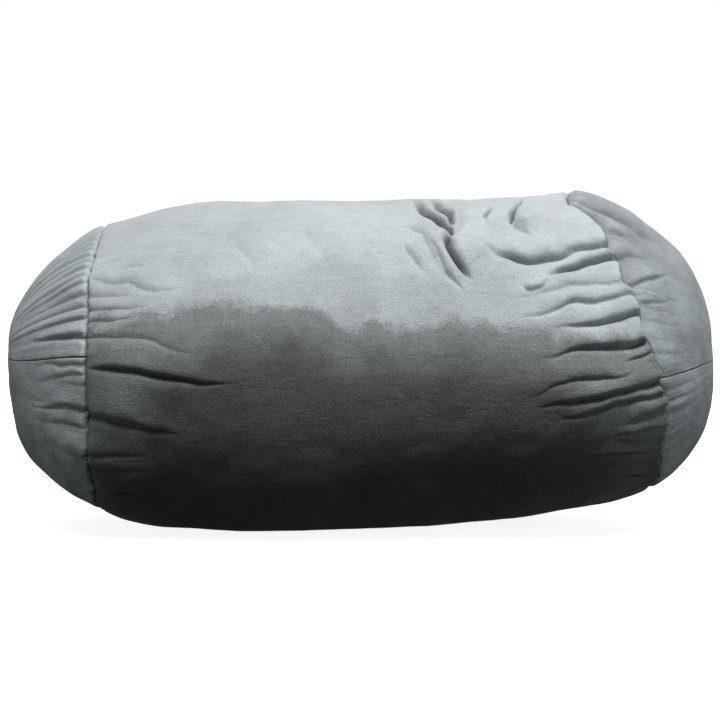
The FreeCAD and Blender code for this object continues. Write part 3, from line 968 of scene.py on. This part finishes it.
def speckled_material(name, base, roughness, scale, metallic=0.0, depth=0.0003, spread_by=0.1):
    """A surface with fine unevenness in colour, gloss and height."""
    material, tree, shader = new_material(name, base, roughness, metallic)
    grain = noise(tree, scale, 4, 0.6)
    colour = blend_colours(tree, grain, scaled(base, 1 - spread_by), scaled(base, 1 + spread_by))
    tree.links.new(colour, shader.inputs["Base Color"])
    gloss = spread(tree, grain, 0.2, 0.8, roughness * 0.85, min(roughness * 1.15, 1))
    tree.links.new(gloss, shader.inputs["Roughness"])
    bump(tree, shader, grain, 0.35, depth)
    return material


def foam_material():
    """Shredded foam: pale crumbs of a few tints, each painted darker towards its edges as shade between
    crumbs.
    """
    material, tree, shader = new_material("foam", (0.85, 0.80, 0.66), 0.95)
    crumbs = add(tree, "ShaderNodeTexVoronoi")
    give(crumbs, {"Scale": 60})
    tree.links.new(add(tree, "ShaderNodeTexCoord").outputs["Object"], crumbs.inputs["Vector"])
    # painted shade: each crumb darkens towards its edges, where crumbs meet
    shade = spread(tree, crumbs.outputs["Distance"], 0, 0.8, 1.05, 0.72)
    tinted = blend_colours(tree, noise(tree, 40, 2), (0.86, 0.80, 0.62), (0.80, 0.79, 0.74))
    tree.links.new(tint(tree, tinted, shade), shader.inputs["Base Color"])
    bump(tree, shader, crumbs.outputs["Distance"], 0.6, 0.004)
    return material


PLUSH = plush_material()
THREAD = speckled_material("thread", (0.20, 0.215, 0.215), 0.8, 1500, spread_by=0.25)
TAPE = woven_material("zip_tape", (0.14, 0.15, 0.155), 0.85, 420)
COIL = speckled_material("zip_coil", (0.10, 0.107, 0.11), 0.42, 600)
METAL = speckled_material("zip_metal", (0.30, 0.31, 0.32), 0.36, 260, metallic=0.85, depth=0.0001)
LINER = woven_material("liner_cloth", (0.72, 0.72, 0.70), 0.9, 260)
FOAM = foam_material()
LABEL = woven_material("label", (0.60, 0.61, 0.60), 0.6, 700)


def finish_piece(obj, node, material):
    """Puts a soft piece in the place of a CAD node, on the bag's body, in its one material."""
    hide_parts(node)
    obj.data.materials.clear()
    obj.data.materials.append(material)
    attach(obj, "bag")
    return obj


# ---- stitching


def stitches(name, node, along, around, closed=False):
    """Short thread stitches sunk in the seam that runs through the given places."""
    inward = -smooth_normal(along, around)
    path = filled_bag(along, around) + inward * (SEAM_DEPTH + 0.0015)
    path[:, 2] = np.maximum(path[:, 2], 0.006)
    if closed:
        path = np.vstack([path, path[:1]])
        inward = np.vstack([inward, inward[:1]])
    distance = np.concatenate([[0], np.cumsum(np.linalg.norm(np.diff(path, axis=0), axis=1))])
    count = int(distance[-1] / STITCH_LENGTH)
    t = (np.arange(count)[:, None] + np.linspace(0.08, 0.92, 5)[None, :]) * distance[-1] / count
    centre = np.stack([np.interp(t, distance, path[:, i]) for i in range(3)], axis=-1)
    down = np.stack([np.interp(t, distance, inward[:, i]) for i in range(3)], axis=-1)
    sink = np.array([1.0, 0.2, 0.0, 0.2, 1.0])[None, :, None]
    centre = centre + down * sink * STITCH_SINK
    ahead = unit(np.gradient(centre, axis=1))
    side = np.cross(ahead, down)
    turn = np.linspace(0, math.tau, 5, endpoint=False)
    radius = STITCH_RADIUS * np.array([0.55, 0.95, 1.0, 0.95, 0.55])[None, :, None, None]
    ring = side[:, :, None] * np.cos(turn)[:, None] + down[:, :, None] * np.sin(turn)[:, None]
    points = (centre[:, :, None] + radius * ring).reshape(-1, 3)
    quads = grid_faces(5, 5, wrap=True)
    faces = []
    for i in range(count):
        faces += [tuple(f) for f in quads + 25 * i]
        faces.append(tuple(25 * i + k for k in (4, 3, 2, 1, 0)))
        faces.append(tuple(25 * i + 20 + k for k in range(5)))
    return finish_piece(new_object(name, points, faces), node, THREAD)


def make_stitching():
    ring = np.linspace(-180, 180, 720, endpoint=False)
    for side, seam in (("left", left_seam), ("right", right_seam)):
        stitches(f"{side}_seam_stitches", f"{side}_end_seam_stitching", seam(ring), ring, closed=True)
    share = np.linspace(1, 0.02, 120)
    around = np.repeat([0.0, 180.0], len(share))
    for side in ("left", "right"):
        seam = left_seam(around) if side == "left" else TOTAL - right_seam(around)
        out_and_back = np.concatenate([share, share[::-1]]) * (seam - 0.004)
        along = out_and_back if side == "left" else TOTAL - out_and_back
        stitches(f"{side}_end_stitches", f"{side}_end_middle_stitching", along, around)
    reach = ZIP_SLOT_HALF + 0.012
    left_run = np.linspace(float(left_seam(np.array(180.0))) + 0.004, float(along_of(-reach)), 60)
    right_run = np.linspace(float(along_of(reach)), float(right_seam(np.array(180.0))) - 0.004, 40)
    runs = [stitches(f"run_{i}", "back_seam_stitching", run, np.full(len(run), 180.0))
            for i, run in enumerate((left_run, right_run))]
    finish_piece(join("back_seam_stitches", runs), "back_seam_stitching", THREAD)


# ---- zips and label


def tape(name, node):
    """A zip tape: a thin woven strip, a little wavy along its length."""
    low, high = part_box(node)
    upper = high.z > ZIP_HEIGHT + 0.003
    inner, outer = (low.z, high.z) if upper else (high.z, low.z)
    along = np.linspace(low.x - TAPE_TAIL, high.x + TAPE_TAIL, 260)
    across = np.linspace(0, 1, 9)
    x, t = np.meshgrid(along, across, indexing="ij")
    z = inner + (outer - inner) * t
    mid = (low.y + high.y) / 2
    wave = 0.00012 * np.sin(x * 95) * t + 0.00010 * np.sin(x * 231 + 1)
    y = mid + 0.0003 - wave
    faces = grid_faces(len(along), len(across), flip=upper)
    obj = new_object(name, np.stack([x, y, z], -1).reshape(-1, 3), faces)
    give_thickness(obj, 0.0006, offset=0.0)
    finish_piece(obj, node, TAPE)


def coil(name, node):
    """One side of a coil zip: a flattened helix of nylon wound along the tape's edge."""
    low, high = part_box(node)
    turns = int((high.x - low.x) / COIL_PITCH)
    t = np.linspace(0, 1, turns * 10)
    angle = t * turns * math.tau
    c, s = np.cos(angle), np.sin(angle)
    reach_z, reach_y = (high.z - low.z) / 2 - COIL_WIRE, (high.y - low.y) / 2 - COIL_WIRE
    z = (low.z + high.z) / 2 + reach_z * np.sign(c) * np.abs(c) ** 0.8
    y = (low.y + high.y) / 2 + reach_y * s
    x = low.x + COIL_WIRE + (high.x - low.x - 2 * COIL_WIRE) * t
    obj = tube(name, np.stack([x, y, z], -1), COIL_WIRE, sides=5)
    finish_piece(obj, node, COIL)


def make_zips():
    for kind in ("cover", "liner"):
        for side in ("upper", "lower"):
            tape(f"{kind}_{side}_tape", f"{kind}_zip_{side}_tape")
            coil(f"{kind}_{side}_coil", f"{kind}_zip_{side}_coil")
    for node in ("cover_zip_slider", "cover_zip_pull", "cover_zip_top_stops", "cover_zip_bottom_stop",
                 "liner_zip_slider", "liner_zip_top_stops", "liner_zip_bottom_stop"):
        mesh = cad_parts[node].data
        mesh.materials.clear()
        mesh.materials.append(METAL)


def make_label():
    """A blank ribbon label whose end is sewn in under the zip's lower fabric edge, with a slight curl."""
    low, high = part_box("care_label")
    drop = high.z - low.z
    x, t = np.meshgrid(np.linspace(low.x, high.x, 24), np.linspace(-0.12, 1, 34), indexing="ij")
    across = (x - low.x) / (high.x - low.x) * 2 - 1
    down = np.maximum(t, 0) * drop + 0.0012 * across * np.maximum(t, 0)
    around = back_edge(x) - 180 + np.degrees(down / HALF_DEPTH)
    cover = cover_points("body", along_of(x), around)[0]
    outward = smooth_normal(along_of(x), around)
    hidden = np.maximum(-t, 0) * drop
    lift = 0.0009 + 0.003 * np.maximum(t, 0) ** 2 * (1 - 0.5 * across**2) - hidden
    lift += 0.0008 * np.sin(across * 2.2 + t * 3) * np.maximum(t, 0)
    points = cover + outward * lift[..., None]
    points[..., 2] += np.minimum(hidden, 0.0012)
    obj = new_object("care_label_ribbon", points.reshape(-1, 3), grid_faces(24, 34))
    give_thickness(obj, 0.0005, offset=0.0)
    finish_piece(obj, "care_label", LABEL)


# ---- liner and fill


LINER_INSET = 0.0175
FOAM_INSET = 0.034
LINER_WRINKLES = Waves(0.06, stretch=(3.0, 1, 1))
CRUMBS = Waves(0.022)


def deepest_fold(along, around):
    """How far the cover dips inwards at a place or close to it, as a number under zero."""
    deepest = np.zeros(along.shape)
    for step_along, step_around in ((0, 0), (0.009, 0), (-0.009, 0), (0, 1.1), (0, -1.1)):
        a = np.clip(along + step_along, 0, TOTAL)
        b = around + step_around
        base, normals = filled_bag(a, b), smooth_normal(a, b)
        left, body, right = (folds(panel, a, b, base, normals)[0] for panel in ("left", "body", "right"))
        dip = np.where(a < left_seam(b), left, np.where(a > right_seam(b), right, body))
        deepest = np.minimum(deepest, dip)
    return deepest


def inner_points(along, around, inset, texture, height):
    """Points of a layer inside the cover, never nearer to the cover than its inset allows."""
    base = smooth_bag(along, around)
    move = settled(along, around)
    normals = smooth_normal(along, around)
    inset = inset - deepest_fold(along, around)
    outward = np.sum(move * normals, axis=-1, keepdims=True)
    near_seam = np.minimum(np.abs(along - left_seam(around)), np.abs(along - right_seam(around)))
    dip = 0.010 * np.exp(-((near_seam / 0.03) ** 2))
    depth = inset + dip + height * (1 + texture(base))
    points = base + normals * (np.minimum(outward, 0) * 0.9 - depth[..., None])
    points[..., 2] = np.maximum(points[..., 2], 0.009 + 0.35 * (inset - LINER_INSET))
    return points


def make_liner():
    around = np.linspace(-180, 180, LINER_AROUND)
    for name in ("liner_left_end", "liner_body", "liner_right_end"):
        rows = 220 if name == "liner_body" else 60
        k, turn = np.meshgrid(np.linspace(0, 1, rows), around, indexing="ij")
        left, right = left_seam(turn), right_seam(turn)
        if name == "liner_body":
            along = left + 0.001 + (right - left - 0.002) * k
            opening = smoothstep(0.33 - np.abs(x_of(along)), 0.0, 0.03)
            turn = turn * (1 - (0.0003 + 0.0075 * opening) / (math.pi * HALF_DEPTH))
        elif name == "liner_left_end":
            along = (left - 0.001) * (0.02 + 0.98 * k)
        else:
            along = TOTAL - (TOTAL - right - 0.001) * (1.0 - 0.98 * k)
        points = inner_points(along, turn, LINER_INSET, LINER_WRINKLES, 0.0018)
        obj = new_object(name, points.reshape(-1, 3), grid_faces(rows, LINER_AROUND))
        give_thickness(obj, 0.0008)
        finish_piece(obj, f"{name}_panel", LINER)


def make_foam():
    """The shredded foam as one closed lumpy mass."""
    along = np.linspace(0.03, TOTAL - 0.03, FOAM_ALONG)
    around = np.linspace(-180, 180, FOAM_AROUND, endpoint=False)
    a, b = np.meshgrid(along, around, indexing="ij")
    grid = inner_points(a, b, FOAM_INSET, CRUMBS, 0.004)
    tips = [grid[0].mean(0) - (0.002, 0, 0), grid[-1].mean(0) + (0.002, 0, 0)]
    points = np.vstack([grid.reshape(-1, 3), tips])
    obj = new_object("foam_fill", points, closed_faces(FOAM_ALONG, FOAM_AROUND))
    finish_piece(obj, "shredded_foam_fill", FOAM)


# ---- studio


def make_floor():
    corners = [(-30, -30, -0.001), (30, -30, -0.001), (30, 30, -0.001), (-30, 30, -0.001)]
    floor = new_object("floor", corners, [(0, 1, 2, 3)])
    material, tree, shader = new_material("floor", (0.9, 0.9, 0.9), 1.0)
    give(shader, {"Specular IOR Level": 0.0, "Emission Color": (1, 1, 1, 1)})
    where = add(tree, "ShaderNodeTexCoord").outputs["Object"]
    away = add(tree, "ShaderNodeVectorMath", operation="LENGTH")
    tree.links.new(where, away.inputs[0])
    strength = spread(tree, away.outputs["Value"], 0.8, 2.4, 0.88, 1.0, smooth=True)
    tree.links.new(strength, shader.inputs["Emission Strength"])
    floor.data.materials.append(material)
    floor.visible_diffuse = False
    floor.visible_glossy = False


def area_light(name, place, aim, size, power, colour=(1, 1, 1)):
    data = bpy.data.lights.new(name, "AREA")
    data.shape = "RECTANGLE"
    data.size, data.size_y = size
    data.energy = power
    data.color = colour
    light = bpy.data.objects.new(name, data)
    light.location = place
    light.rotation_euler = (Vector(aim) - Vector(place)).to_track_quat("-Z", "Y").to_euler()
    bpy.context.scene.collection.objects.link(light)


def make_world():
    """White behind the bag, with only a little light coming from all round."""
    world = bpy.data.worlds.new("studio")
    bpy.context.scene.world = world
    world.use_nodes = True
    tree = world.node_tree
    tree.nodes.clear()
    path = add(tree, "ShaderNodeLightPath")
    seen = add(tree, "ShaderNodeBackground")
    give(seen, {"Strength": 1.0, "Color": (1, 1, 1, 1)})
    around = add(tree, "ShaderNodeBackground")
    give(around, {"Strength": 0.035, "Color": (0.95, 1.0, 1.0, 1)})
    mix = add(tree, "ShaderNodeMixShader")
    output = add(tree, "ShaderNodeOutputWorld")
    tree.links.new(path.outputs["Is Camera Ray"], mix.inputs[0])
    tree.links.new(around.outputs[0], mix.inputs[1])
    tree.links.new(seen.outputs[0], mix.inputs[2])
    tree.links.new(mix.outputs[0], output.inputs["Surface"])


def make_studio():
    make_floor()
    make_world()
    area_light("key", (0.35, -1.75, 3.1), (0, 0, 0.45), (2.8, 0.9), 120)
    area_light("overhead", (0.0, 1.2, 2.9), (0, 0, 0.5), (3.6, 1.5), 42)
    area_light("behind", (0.0, 3.6, 1.3), (0, 0, 0.4), (3.6, 1.5), 60)
    area_light("right_side", (3.4, -1.6, 0.9), (0.8, -0.1, 0.45), (1.0, 1.4), 22, (0.92, 1.0, 1.0))
    area_light("left_side", (-3.4, -1.6, 0.9), (-0.8, -0.1, 0.45), (1.0, 1.4), 12, (0.92, 1.0, 1.0))
    bpy.context.scene.view_settings.view_transform = "Standard"


def make_camera():
    data = bpy.data.cameras.new("camera")
    data.lens = CAMERA_LENS
    data.sensor_width = 36
    camera = bpy.data.objects.new("camera", data)
    aim = Vector(CAMERA_AIM)
    away = Vector((0, -math.cos(CAMERA_RISE), math.sin(CAMERA_RISE)))
    camera.location = aim + away * CAMERA_DISTANCE
    camera.rotation_euler = (-away).to_track_quat("-Z", "Y").to_euler()
    bpy.context.scene.collection.objects.link(camera)
    bpy.context.scene.camera = camera


make_camera()
make_liner()
make_foam()
make_body()
for end_side in ("left", "right"):
    for end_half in ("upper", "lower"):
        make_end(end_side, end_half)
make_stitching()
make_zips()
make_label()
make_studio()
